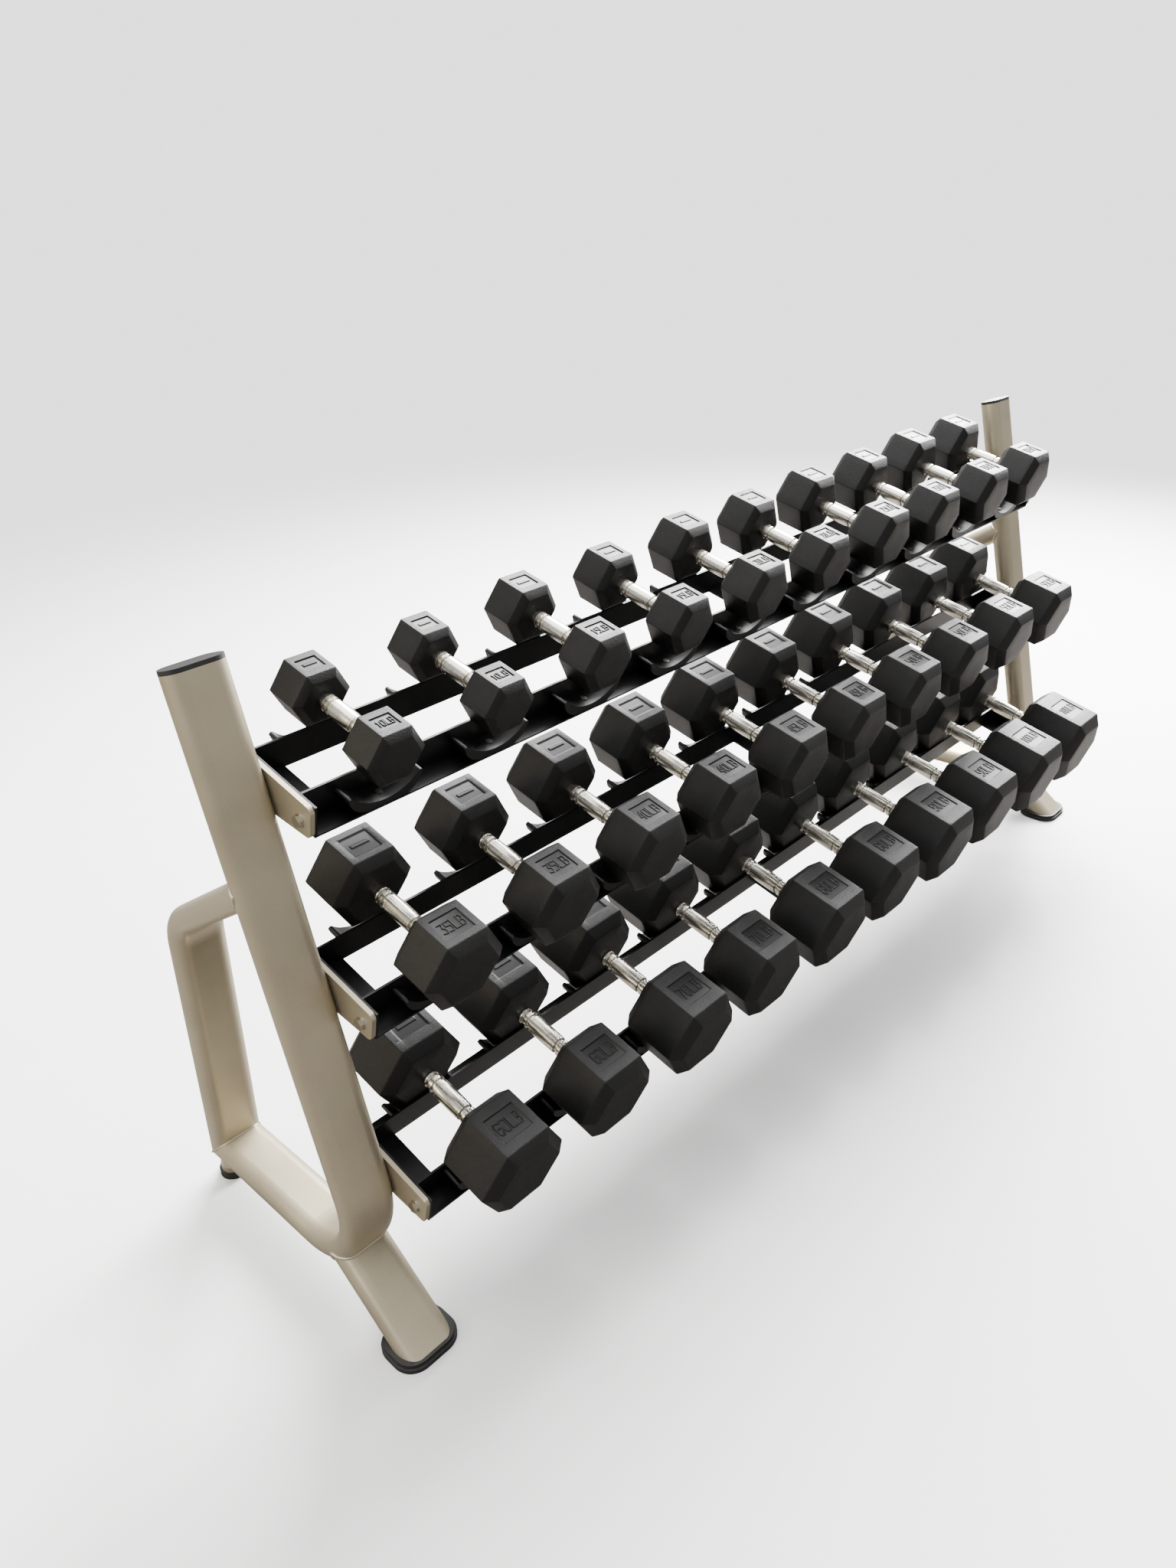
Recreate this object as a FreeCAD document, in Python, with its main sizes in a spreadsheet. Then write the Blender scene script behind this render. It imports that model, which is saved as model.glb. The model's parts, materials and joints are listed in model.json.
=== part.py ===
import FreeCAD, Part
import math
import os
import Sketcher

V = FreeCAD.Vector
doc = FreeCAD.newDocument("dumbbell_rack")

# Driving sizes, millimetres and degrees. X runs along the rack, Y to the back, Z up.
SIZES = [
    ("frame_half_span", 1200), ("tube_long", 100), ("tube_short", 50), ("tube_wall", 3),
    ("mast_top_y", 99.0), ("mast_top_z", 1161.1), ("front_corner_y", -156.9),
    ("front_corner_z", 106.9), ("front_bend", 150),
    ("rear_corner_y", 344.5), ("rear_corner_z", 86.8), ("knee_y", 298.4), ("knee_z", 643.4),
    ("knee_bend", 90), ("brace_end_y", 18.5), ("brace_end_z", 829.0),
    ("foot_start_y", -150.2), ("foot_start_z", 68.5), ("foot_angle", 36.5),
    ("front_pad_height", 16), ("rear_pad_height", 14), ("stub_radius", 24), ("rear_pad_radius", 28.5),
    ("tier_tilt", 13.68), ("tier_depth", 208), ("tier_drop", 57),
    ("tier_one_y", -67.5), ("tier_one_z", 967.3), ("tier_two_y", -146.6), ("tier_two_z", 634.1),
    ("tier_three_y", -223.8), ("tier_three_z", 289.8),
    ("bracket_thick", 8), ("sheet_thick", 4), ("shelf_depth", 42), ("flange_width", 59),
    ("seat_pitch", 225), ("seat_width", 136), ("seat_depth", 37), ("seat_radius", 86),
    ("seat_tip_drop", 16), ("cross_plate_width", 50),
    ("handle_gap_light", 106), ("handle_gap_middle", 126), ("handle_gap_heavy", 134), ("handle_radius", 15), ("collar_radius", 19),
    ("head_edge_share", 0.115), ("head_length_base", 69), ("head_length_step", 1.0),
    ("across_10lb", 94), ("across_15lb", 106), ("across_20lb", 116), ("across_25lb", 124),
    ("across_30lb", 131), ("across_35lb", 139), ("across_40lb", 143), ("across_45lb", 147),
    ("across_50lb", 151), ("across_55lb", 154), ("across_60lb", 157), ("across_70lb", 165),
    ("across_80lb", 172), ("across_90lb", 178), ("across_100lb", 184), ("rest_gap", 0.3), ("stub_back", 12), ("stub_out", 12),
]
sheet = doc.addObject("Spreadsheet::Sheet", "Sizes")
for row, (alias, size) in enumerate(SIZES, 1):
    sheet.set("A%d" % row, alias)
    sheet.set("B%d" % row, str(size))
    sheet.setAlias("B%d" % row, alias)
doc.recompute()


def g(alias):
    return float(sheet.get(alias))


TILT = g("tier_tilt")
SPAN = g("frame_half_span")
DROP = g("tier_drop")
THICK = g("sheet_thick")
DEPTH = g("tier_depth")
SHELF = g("shelf_depth")
PLATE_OUT = SPAN - g("tube_long") / 2.0
PLATE_IN = PLATE_OUT - g("bracket_thick")
WEB_IN = PLATE_IN - THICK
SEATS = 10
SEAT_X = [(i - (SEATS - 1) / 2.0) * g("seat_pitch") for i in range(SEATS)]
TIERS = [("top", "one"), ("middle", "two"), ("bottom", "three")]
WEIGHTS = {
    "top": [10, 10, 15, 15, 20, 20, 25, 25, 30, 30],
    "middle": [35, 35, 40, 40, 45, 45, 50, 50, 55, 55],
    "bottom": [60, 60, 70, 70, 80, 80, 90, 90, 100, 100],
}
SIDES = [("left", -1), ("right", 1)]
nodes = []


def turn_x(angle):
    return FreeCAD.Rotation(V(1, 0, 0), angle)


def tier_place(word):
    """Frame of one tier: origin on its top front edge, local Y up the slope, local Z square to it."""
    return FreeCAD.Placement(V(0, g("tier_%s_y" % word), g("tier_%s_z" % word)), turn_x(TILT))


def at(x, y, z, rot=None):
    return FreeCAD.Placement(V(x, y, z), rot or FreeCAD.Rotation())


# Rotations of a local frame: Z along X with the outline in Y-Z, and Z along Y.
ALONG_X = FreeCAD.Rotation(V(0, 1, 0), V(0, 0, 1), V(1, 0, 0), "ZXY")
ALONG_Y = FreeCAD.Rotation(V(1, 0, 0), -90)


def box(name, length, width, height, place):
    """Box with its three sizes bound to sheet expressions."""
    b = doc.addObject("Part::Box", name)
    for prop, expr in (("Length", length), ("Width", width), ("Height", height)):
        b.setExpression(prop, expr)
    b.Placement = place
    return b


def cylinder(name, radius, height, place):
    c = doc.addObject("Part::Cylinder", name)
    c.Radius = radius
    c.Height = height
    c.Placement = place
    return c


def cut(name, base, tool):
    c = doc.addObject("Part::Cut", name)
    c.Base = base
    c.Tool = tool
    return c


def fuse(name, shapes):
    f = doc.addObject("Part::MultiFuse", name)
    f.Shapes = shapes
    return f


def group(name, shapes):
    c = doc.addObject("Part::Compound", name)
    c.Links = shapes
    return c


def sketch(name, place, loops, closed=True):
    """Sketch of straight runs and arcs. A run is (x, y); an arc is (mid x, mid y, end x, end y)."""
    s = doc.addObject("Sketcher::SketchObject", name)
    s.Placement = place
    for loop in loops:
        start = last = loop[0]
        steps = list(loop[1:])
        if closed:
            steps.append(start)
        for step in steps:
            end = step[-2:]
            if math.dist(last, end) > 1e-6:
                p = V(last[0], last[1], 0)
                q = V(end[0], end[1], 0)
                if len(step) == 4:
                    s.addGeometry(Part.Arc(p, V(step[0], step[1], 0), q), False)
                else:
                    s.addGeometry(Part.LineSegment(p, q), False)
            last = end
    return s


def circles(name, place, centres, radius):
    s = doc.addObject("Sketcher::SketchObject", name)
    s.Placement = place
    for x, y in centres:
        s.addGeometry(Part.Circle(V(x, y, 0), V(0, 0, 1), radius), False)
    return s


def extrude(name, base, length):
    """Solid push of a sketch along its own normal."""
    e = doc.addObject("Part::Extrusion", name)
    e.Base = base
    e.DirMode = "Normal"
    e.LengthFwd = length
    e.Solid = True
    return e


def keep(obj, label):
    obj.Label = label
    nodes.append(obj)
    return obj


def stadium(long, short):
    """Flat oval outline about the origin, long axis along x."""
    a = (long - short) / 2.0
    r = short / 2.0
    return [(-a, -r), (a, -r), (a + r, 0, a, r), (-a, r), (-a - r, 0, -a, -r)]


def rounded(long, short, r):
    """Rounded rectangle outline about the origin."""
    a = long / 2.0
    b = short / 2.0
    k = r * (1 - math.sqrt(0.5))
    return [(-a + r, -b), (a - r, -b), (a - k, -b + k, a, -b + r), (a, b - r), (a - k, b - k, a - r, b),
            (-a + r, b), (-a + k, b - k, -a, b - r), (-a, -b + r), (-a + k, -b + k, -a + r, -b)]


def tube(name, x, points, bend):
    """Hollow flat-oval tube along two straight runs joined by one tangent bend in the plane X = x."""
    (ay, az), (by, bz), (cy, cz) = points
    d1 = V(ay - by, az - bz, 0).normalize()
    d2 = V(cy - by, cz - bz, 0).normalize()
    half = math.acos(max(-1, min(1, d1.dot(d2)))) / 2.0
    reach = bend / math.tan(half)
    mid = (d1 + d2).normalize() * (bend / math.sin(half) - bend)
    corner = V(by, bz, 0)
    p = corner + d1 * reach
    q = corner + d2 * reach
    m = corner + mid
    side = FreeCAD.Placement(V(x, 0, 0), ALONG_X)
    path = sketch(name + "_path", side, [[(ay, az), (p.x, p.y), (m.x, m.y, q.x, q.y), (cy, cz)]], False)
    lean = math.degrees(math.atan2(-d1.y, -d1.x)) - 90
    start = FreeCAD.Placement(V(x, ay, az), turn_x(lean))
    wall = g("tube_wall")
    parts = []
    for tag, trim in (("outer", 0), ("inner", 2 * wall)):
        ring = sketch(name + "_" + tag, start, [stadium(g("tube_long") - trim, g("tube_short") - trim)])
        sweep = doc.addObject("Part::Sweep", name + "_" + tag + "_sweep")
        sweep.Sections = [ring]
        sweep.Spine = (path, [])
        sweep.Solid = True
        sweep.Frenet = False
        parts.append(sweep)
    return parts


def slab_beyond(name, x, y, z, angle):
    """Cutting block on the +local-Z side of a plane through the given point, square to Y-Z."""
    b = doc.addObject("Part::Box", name)
    b.Length = 200
    b.Width = 300
    b.Height = 200
    b.Placement = FreeCAD.Placement(V(x, y, z), turn_x(angle)).multiply(at(-100, -150, 0))
    return b


# ---------------------------------------------------------------- end frames
TOP = (g("mast_top_y"), g("mast_top_z"))
FRONT = (g("front_corner_y"), g("front_corner_z"))
REAR = (g("rear_corner_y"), g("rear_corner_z"))
KNEE = (g("knee_y"), g("knee_z"))
END = (g("brace_end_y"), g("brace_end_z"))


def beyond(a, b, extra):
    """Point on the line a-b, the given length past b."""
    n = math.dist(a, b)
    return (b[0] + (b[0] - a[0]) / n * extra, b[1] + (b[1] - a[1]) / n * extra)


low = V(FRONT[0] - REAR[0], FRONT[1] - REAR[1], 0).normalize()
high = V(KNEE[0] - REAR[0], KNEE[1] - REAR[1], 0).normalize()
split = (low + high).normalize()
mitre_angle = math.degrees(math.atan2(split.y, split.x)) - 180
mast_lean = math.degrees(math.atan2(TOP[0] - FRONT[0], TOP[1] - FRONT[1]))
foot_dir = math.radians(g("foot_angle"))
pad_top = g("front_pad_height")
foot_y = g("foot_start_y")
foot_z = g("foot_start_z")
pad_y = foot_y - (foot_z - pad_top) / math.tan(foot_dir)
half_cut = g("tube_short") / 2.0 / math.sin(foot_dir)

caps = []
front_pads = []
rear_pads = []
stubs = []
for side, sign in SIDES:
    x = sign * SPAN
    outer, inner = tube(side + "_mast_tube", x, (TOP, FRONT, beyond(FRONT, REAR, 60)), g("front_bend"))
    hollow = cut(side + "_mast_hollow", outer, inner)
    mast = cut(side + "_mast", hollow, slab_beyond(side + "_mitre_a", x, REAR[0], REAR[1], mitre_angle))
    keep(mast, side + "_mast")

    up_outer, up_inner = tube(side + "_upright_tube", x, (beyond(KNEE, REAR, 60), KNEE, END), g("knee_bend"))
    up_hollow = cut(side + "_upright_hollow", up_outer, up_inner)
    up_mitred = cut(side + "_upright_mitred", up_hollow,
                    slab_beyond(side + "_mitre_b", x, REAR[0], REAR[1], mitre_angle + 180))
    upper = doc.addObject("Part::Box", side + "_joint_zone")
    upper.Length = 200
    upper.Width = 500
    upper.Height = 600
    upper.Placement = at(x - 100, -250, 550)
    joint = doc.addObject("Part::Common", side + "_mast_at_brace")
    joint.Base = outer
    joint.Tool = upper
    upright = cut(side + "_rear_upright", up_mitred, joint)
    keep(upright, side + "_rear_upright")

    lean = FreeCAD.Placement(V(x, foot_y, foot_z), turn_x(180 - 90 + g("foot_angle")))
    back = lean.multiply(at(0, 0, -103))
    foot_outer = extrude(side + "_foot_outer", sketch(side + "_foot_ring", back,
                         [stadium(g("tube_long"), g("tube_short"))]), 303)
    trim = 2 * g("tube_wall")
    foot_inner = extrude(side + "_foot_inner", sketch(side + "_foot_bore", back,
                         [stadium(g("tube_long") - trim, g("tube_short") - trim)]), 303)
    foot_tube = cut(side + "_foot_tube", foot_outer, foot_inner)
    foot_cut = cut(side + "_foot_level", foot_tube, slab_beyond(side + "_foot_floor", x, pad_y, pad_top, 180))
    foot = cut(side + "_front_foot", foot_cut, outer)
    keep(foot, side + "_front_foot")

    base_len = g("tube_long") + 24
    base_dep = 2 * half_cut + 20
    base = extrude(side + "_pad_base", sketch(side + "_pad_base_ring", at(x, pad_y, 0),
                   [rounded(base_len, base_dep, 40)]), pad_top * 0.55)
    step = extrude(side + "_pad_step", sketch(side + "_pad_step_ring", at(x, pad_y, pad_top * 0.55),
                   [rounded(base_len - 8, base_dep - 8, 36)]), pad_top * 0.45)
    front_pads.append(fuse(side + "_front_pad", [base, step]))

    pad_h = g("rear_pad_height")
    stub_x = x + sign * g("stub_out")
    stub_y = REAR[0] + g("stub_back")
    stub = cylinder(side + "_stub_bar", g("stub_radius"), 60, at(stub_x, stub_y, pad_h))
    joined = fuse(side + "_rear_corner", [outer, up_outer])
    stubs.append(cut(side + "_stub", stub, joined))
    rear_pads.append(cylinder(side + "_rear_pad", g("rear_pad_radius"), pad_h, at(stub_x, stub_y, 0)))

    top = FreeCAD.Placement(V(x, TOP[0], TOP[1]), turn_x(-mast_lean))
    lid = extrude(side + "_cap_lid", sketch(side + "_cap_ring", top,
                  [stadium(g("tube_long"), g("tube_short"))]), 7)
    plug = extrude(side + "_cap_plug", sketch(side + "_cap_plug_ring", top.multiply(at(0, 0, -14)),
                   [stadium(g("tube_long") - trim - 0.6, g("tube_short") - trim - 0.6)]), 14)
    caps.append(fuse(side + "_cap", [lid, plug]))

keep(group("mast_caps", caps), "mast_caps")
keep(group("front_foot_pads", front_pads), "front_foot_pads")
keep(group("rear_foot_pads", rear_pads), "rear_foot_pads")
keep(group("rear_foot_tubes", stubs), "rear_foot_tubes")

# ------------------------------------------------- brackets and end plates
BOLT_U = (26.0, DEPTH - 22.0)
BOLT_N = -36.0
BRACKET = [(10, 0), (DEPTH - 10, 0), (DEPTH - 3, -3, DEPTH, -10), (DEPTH, -DROP + 6),
           (DEPTH * 0.74, -DROP - 14), (DEPTH * 0.50, -DROP - 14), (12, -DROP - 1),
           (3, -DROP + 3, 0, -DROP + 12), (0, -10), (3, -3, 10, 0)]
bolts = []
nuts = []
screws = []
for side, sign in SIDES:
    plates = []
    webs = []
    for tier, word in TIERS:
        t = tier_place(word)
        tag = side + "_" + tier
        x0 = min(sign * PLATE_OUT, sign * PLATE_IN)
        flat = t.multiply(at(x0, 0, 0, ALONG_X))
        blank = extrude(tag + "_bracket_blank", sketch(tag + "_bracket_ring", flat, [BRACKET]),
                        g("bracket_thick"))
        holes = extrude(tag + "_bracket_holes", circles(tag + "_hole_rings",
                        t.multiply(at(x0 - 10, 0, 0, ALONG_X)), [(u, BOLT_N) for u in BOLT_U], 5.3), 40)
        plates.append(cut(tag + "_bracket", blank, holes))

        w0 = min(sign * PLATE_IN, sign * WEB_IN)
        web = box(tag + "_web", "Sizes.sheet_thick", "Sizes.tier_depth", "Sizes.tier_drop",
                  t.multiply(at(w0, 0, -DROP)))
        f0 = min(sign * PLATE_IN, sign * (PLATE_IN - g("flange_width")))
        flange = box(tag + "_flange", "Sizes.flange_width", "Sizes.tier_depth - 2 * Sizes.shelf_depth",
                     "Sizes.sheet_thick", t.multiply(at(f0, SHELF, -DROP)))
        web_holes = extrude(tag + "_web_holes", circles(tag + "_web_rings",
                            t.multiply(at(w0 - 10, 0, 0, ALONG_X)), [(u, BOLT_N) for u in BOLT_U], 5.3), 40)
        webs.append(cut(tag + "_end", fuse(tag + "_end_blank", [web, flange]), web_holes))

        for k, u in enumerate(BOLT_U):
            out = FreeCAD.Rotation(V(0, 1, 0), 90 * sign)
            seat = t.multiply(at(sign * PLATE_OUT, u, BOLT_N, out))
            name = "%s_bolt_%d" % (tag, k)
            head = doc.addObject("Part::Prism", name + "_head")
            head.Polygon = 6
            head.Circumradius = 9.8
            head.Height = 6.4
            head.Placement = seat.multiply(at(0, 0, 1.6))
            washer = cylinder(name + "_washer", 11, 1.6, seat)
            reach = g("bracket_thick") + THICK + 9
            shank = cylinder(name + "_shank", 5, reach, seat.multiply(at(0, 0, -reach)))
            bolts.append(fuse(name, [head, washer, shank]))
            inside = t.multiply(at(sign * WEB_IN, u, BOLT_N, FreeCAD.Rotation(V(0, 1, 0), -90 * sign)))
            nut = doc.addObject("Part::Prism", name + "_nut_blank")
            nut.Polygon = 6
            nut.Circumradius = 9.8
            nut.Height = 8
            nut.Placement = inside
            nuts.append(cut(name + "_nut", nut, cylinder(name + "_nut_bore", 5.1, 12,
                                                         inside.multiply(at(0, 0, -2)))))
    keep(group(side + "_bracket_plates", plates), side + "_bracket_plates")
    keep(group(side + "_end_plates", webs), side + "_end_plates")
keep(group("bracket_bolts", bolts), "bracket_bolts")
keep(group("bracket_nuts", nuts), "bracket_nuts")

# --------------------------------------------------- rails, seats and screws
HALF = g("seat_width") / 2.0
RADIUS = g("seat_radius")
TIP = -g("seat_tip_drop")
FLOOR = -DROP + THICK
SAG = RADIUS - math.sqrt(RADIUS ** 2 - (HALF - 5) ** 2)
TROUGH = TIP - SAG
rail_len = "2 * (Sizes.frame_half_span - Sizes.tube_long / 2 - Sizes.bracket_thick - Sizes.sheet_thick)"


def seat_loop(x):
    """Boat-shaped cradle outline with a round hollow between two rounded tips."""
    return [(x - 30, FLOOR), (x + 30, FLOOR), (x + 50, FLOOR + 6, x + HALF, TIP - 7),
            (x + HALF + 0.5, TIP - 1, x + HALF - 5, TIP), (x, TROUGH, x - HALF + 5, TIP),
            (x - HALF - 0.5, TIP - 1, x - HALF, TIP - 7), (x - 50, FLOOR + 6, x - 30, FLOOR)]


for tier, word in TIERS:
    t = tier_place(word)
    for row, shelf_u, leg_u, seat_u in (("front", 0.0, SHELF - THICK, 0.5),
                                        ("rear", DEPTH - SHELF, DEPTH - SHELF, DEPTH - 0.5 - g("seat_depth"))):
        tag = tier + "_" + row
        shelf = box(tag + "_shelf", rail_len, "Sizes.shelf_depth", "Sizes.sheet_thick",
                    t.multiply(at(-WEB_IN, shelf_u, -DROP)))
        leg = box(tag + "_leg", rail_len, "Sizes.sheet_thick", "Sizes.tier_drop",
                  t.multiply(at(-WEB_IN, leg_u, -DROP)))
        mid_u = seat_u + g("seat_depth") / 2.0
        centres = [(x, mid_u) for x in SEAT_X]
        holes = extrude(tag + "_rail_holes", circles(tag + "_rail_rings",
                        t.multiply(at(0, 0, -DROP - 5)), centres, 3.3), 40)
        keep(cut(tag + "_rail", fuse(tag + "_rail_blank", [shelf, leg]), holes), tag + "_rail")

        face = t.multiply(at(0, seat_u + g("seat_depth"), 0, FreeCAD.Rotation(V(1, 0, 0), 90)))
        cradle = extrude(tag + "_cradles", sketch(tag + "_cradle_rings", face,
                         [seat_loop(x) for x in SEAT_X]), g("seat_depth"))
        bores = extrude(tag + "_bores", circles(tag + "_bore_rings",
                        t.multiply(at(0, 0, -DROP - 5)), centres, 3.3), 60)
        keep(cut(tag + "_saddles", cradle, bores), tag + "_saddles")

        shanks = extrude(tag + "_shanks", circles(tag + "_shank_rings",
                         t.multiply(at(0, 0, -DROP - 4)), centres, 3.0), TROUGH + DROP + 4 + 1)
        heads = extrude(tag + "_heads", circles(tag + "_head_rings",
                        t.multiply(at(0, 0, TROUGH + 0.3)), centres, 6.0), 2.2)
        screws.append(fuse(tag + "_screws", [shanks, heads]))
keep(group("saddle_screws", screws), "saddle_screws")

crosses = []
for tier, word in TIERS:
    crosses.append(box(tier + "_cross", "Sizes.cross_plate_width", "Sizes.tier_depth - 2 * Sizes.shelf_depth",
                       "Sizes.sheet_thick",
                       tier_place(word).multiply(at(-g("cross_plate_width") / 2.0, SHELF, -DROP))))
keep(group("mid_cross_plates", crosses), "mid_cross_plates")


# ------------------------------------------------------------- dumbbells
def head_length(pounds):
    return g("head_length_base") + g("head_length_step") * pounds


def hex_head(name, place, flats, length):
    """Hexagonal block, two flats level, with bevelled ends."""
    p = doc.addObject("Part::Prism", name + "_block")
    p.Polygon = 6
    p.Circumradius = flats / math.sqrt(3)
    p.Height = length
    p.Placement = place
    doc.recompute()
    bevel = g("head_edge_share") * flats
    ends = []
    for i, e in enumerate(p.Shape.Edges, 1):
        a = place.inverse().multVec(e.Vertexes[0].Point)
        b = place.inverse().multVec(e.Vertexes[1].Point)
        if abs(a.z - b.z) < 1e-3:
            ends.append((i, bevel, bevel))
    c = doc.addObject("Part::Chamfer", name)
    c.Base = p
    c.Edges = ends
    return c


MID_U = DEPTH / 2.0
for tier, word in TIERS:
    t = tier_place(word)
    for i, pounds in enumerate(WEIGHTS[tier]):
        name = "dumbbell_%s_%02d_%dlb" % (tier, i + 1, pounds)
        flats = g("across_%dlb" % pounds)
        length = head_length(pounds)
        # Dumbbells of the upper shelves ride with their heads' bevels on the rails' upright legs; the
        # long-handled ones at the bottom straddle the legs and rest in the saddles.
        if tier == "bottom":
            gap = g("handle_gap_heavy") / 2.0
            half_side = flats / math.sqrt(3) / 2.0
            low = TROUGH + RADIUS - math.sqrt(RADIUS ** 2 - half_side ** 2)
        else:
            gap = g("handle_gap_light" if tier == "top" else "handle_gap_middle") / 2.0
            flat_end = MID_U - gap - g("head_edge_share") * flats
            low = -max(0.0, SHELF - THICK - flat_end)
        n = low + flats / 2.0 + g("rest_gap")
        x = SEAT_X[i]
        front = hex_head(name + "_front", t.multiply(at(x, MID_U - gap - length, n, ALONG_Y)), flats, length)
        rear = hex_head(name + "_rear", t.multiply(at(x, MID_U + gap, n, ALONG_Y)), flats, length)
        grip = cylinder(name + "_grip", g("handle_radius"), 2 * gap,
                        t.multiply(at(x, MID_U - gap, n, ALONG_Y)))
        collar_a = cylinder(name + "_collar_a", g("collar_radius"), 9,
                            t.multiply(at(x, MID_U - gap, n, ALONG_Y)))
        collar_b = cylinder(name + "_collar_b", g("collar_radius"), 9,
                            t.multiply(at(x, MID_U + gap - 9, n, ALONG_Y)))
        handle = fuse(name + "_handle", [grip, collar_a, collar_b])
        keep(group(name, [front, rear, handle]), name)

doc.recompute()

bad = []
for obj in doc.Objects:
    if "Invalid" in obj.State or "Error" in obj.State:
        bad.append(obj.Name)
for obj in nodes:
    if obj.Shape.isNull() or not obj.Shape.isValid() or not obj.Shape.Solids:
        bad.append(obj.Label)
if bad:
    raise RuntimeError("unsound objects: " + ", ".join(bad))

os.makedirs("parts", exist_ok=True)
for obj in nodes:
    obj.Shape.exportStep("parts/%s.step" % obj.Label)
    b = obj.Shape.BoundBox
    print("%-28s solids %2d vol %.1f cm3 box %.0f..%.0f %.0f..%.0f %.0f..%.0f" % (
        obj.Label, len(obj.Shape.Solids), obj.Shape.Volume / 1000.0,
        b.XMin, b.XMax, b.YMin, b.YMax, b.ZMin, b.ZMax))
print("nodes", len(nodes))
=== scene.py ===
# %% [markdown]
# # A loaded dumbbell rack
# A gym's rack of thirty hex dumbbells, on three sloping shelves between two bent tube end frames.
# A imported model gives every rigid piece its place and size, in metres, with X along the rack, Y to the back
# and Z up. The lesson dresses it: finishes for the rack's pieces, weld beads, and finer dumbbells.
# The imported pieces are never moved, so this first cell only loads them and keeps them, with the record, for later.
# %% Load the imported pieces
import json
import math
import bmesh
import bpy
import numpy as np
from mathutils import Matrix, Vector


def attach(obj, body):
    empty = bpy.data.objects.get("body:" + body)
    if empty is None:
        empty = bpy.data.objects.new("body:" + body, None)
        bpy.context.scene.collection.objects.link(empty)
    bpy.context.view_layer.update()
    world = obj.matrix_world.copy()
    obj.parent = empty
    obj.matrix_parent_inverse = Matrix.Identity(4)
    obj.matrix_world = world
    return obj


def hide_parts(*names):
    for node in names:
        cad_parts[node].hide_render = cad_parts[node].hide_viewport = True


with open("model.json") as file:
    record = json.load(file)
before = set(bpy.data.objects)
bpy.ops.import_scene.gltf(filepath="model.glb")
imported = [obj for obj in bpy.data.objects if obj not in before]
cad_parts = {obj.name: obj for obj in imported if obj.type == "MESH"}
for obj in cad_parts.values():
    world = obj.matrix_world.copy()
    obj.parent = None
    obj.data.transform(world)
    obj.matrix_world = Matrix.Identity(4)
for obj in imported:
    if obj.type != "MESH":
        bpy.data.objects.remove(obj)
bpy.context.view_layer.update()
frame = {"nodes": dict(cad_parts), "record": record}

record = frame["record"]

# %% [markdown]
# ## The sloping frame of a shelf
# On the real rack each shelf leans forward, so that the numbers on the heads face the lifter. Typing the
# angle here would work until someone changes it. Each dumbbell's lift joint runs square to its shelf, so the
# first joint's axis gives the slope instead: U is the direction up the slope, and N is square to it.
# %% Directions of a shelf
lift = Vector(record["behaviour"]["joints"][0]["axis"]).normalized()
N_DIR = np.array(lift)
U_DIR = np.array([0.0, lift.z, -lift.y])
X_DIR = np.array([1.0, 0.0, 0.0])
TILT = math.atan2(-lift.y, lift.z)
print("shelf slope", round(math.degrees(TILT), 2), "degrees")


def node_points(name):
    """All corners of a CAD node's mesh, as rows of X, Y, Z."""
    mesh = frame["nodes"][name].data
    co = np.empty(len(mesh.vertices) * 3)
    mesh.vertices.foreach_get("co", co)
    return co.reshape(-1, 3)


def span(name, direction):
    """Lowest and highest reach of a node along one direction."""
    d = node_points(name) @ direction
    return d.min(), d.max()


# %% [markdown]
# ## Surfaces from grids
# Weld beads, heads and handles are all one kind of surface: a section carried along a path. They could be
# built from primitives and modifiers, but a grid of points gives full control of every radius.
# One direction of the grid runs round the section and the other along the piece; whole arrays turn it into
# faces, and where a section shrinks to a point, its doubled points are merged into a closed pole.
# %% Grids into meshes
def grid_mesh(name, grids, smooth=35):
    """Mesh from grids of shape (stations, around, 3): station i joins to i + 1, and each row closes on itself."""
    verts, faces, base = [], [], 0
    for grid in grids:
        m, k = grid.shape[:2]
        verts.append(grid.reshape(-1, 3))
        i, j = np.meshgrid(np.arange(m - 1), np.arange(k), indexing="ij")
        after = (j + 1) % k
        quad = np.stack([i * k + j, i * k + after, (i + 1) * k + after, (i + 1) * k + j], axis=-1)
        faces.append(quad.reshape(-1, 4) + base)
        base += m * k
    mesh = bpy.data.meshes.new(name)
    mesh.from_pydata(np.concatenate(verts).tolist(), [], np.concatenate(faces).tolist())
    mesh.validate()
    obj = bpy.data.objects.new(name, mesh)
    bpy.context.scene.collection.objects.link(obj)
    weld_points(mesh)
    mesh.polygons.foreach_set("use_smooth", np.ones(len(mesh.polygons), bool))
    mesh.set_sharp_from_angle(angle=math.radians(smooth))
    return obj


def weld_points(mesh):
    """Joins points that share a place, so the caps' centres are single points, and turns faces outward."""
    bm = bmesh.new()
    bm.from_mesh(mesh)
    bmesh.ops.remove_doubles(bm, verts=bm.verts, dist=1e-6)
    bmesh.ops.dissolve_degenerate(bm, edges=bm.edges, dist=1e-7)
    bmesh.ops.recalc_face_normals(bm, faces=bm.faces)
    bm.to_mesh(mesh)
    bm.free()


def to_row(local):
    """Shelf coordinates (x, u, n) to row coordinates."""
    return local[..., :1] * X_DIR + local[..., 1:2] * U_DIR + local[..., 2:3] * N_DIR


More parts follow.
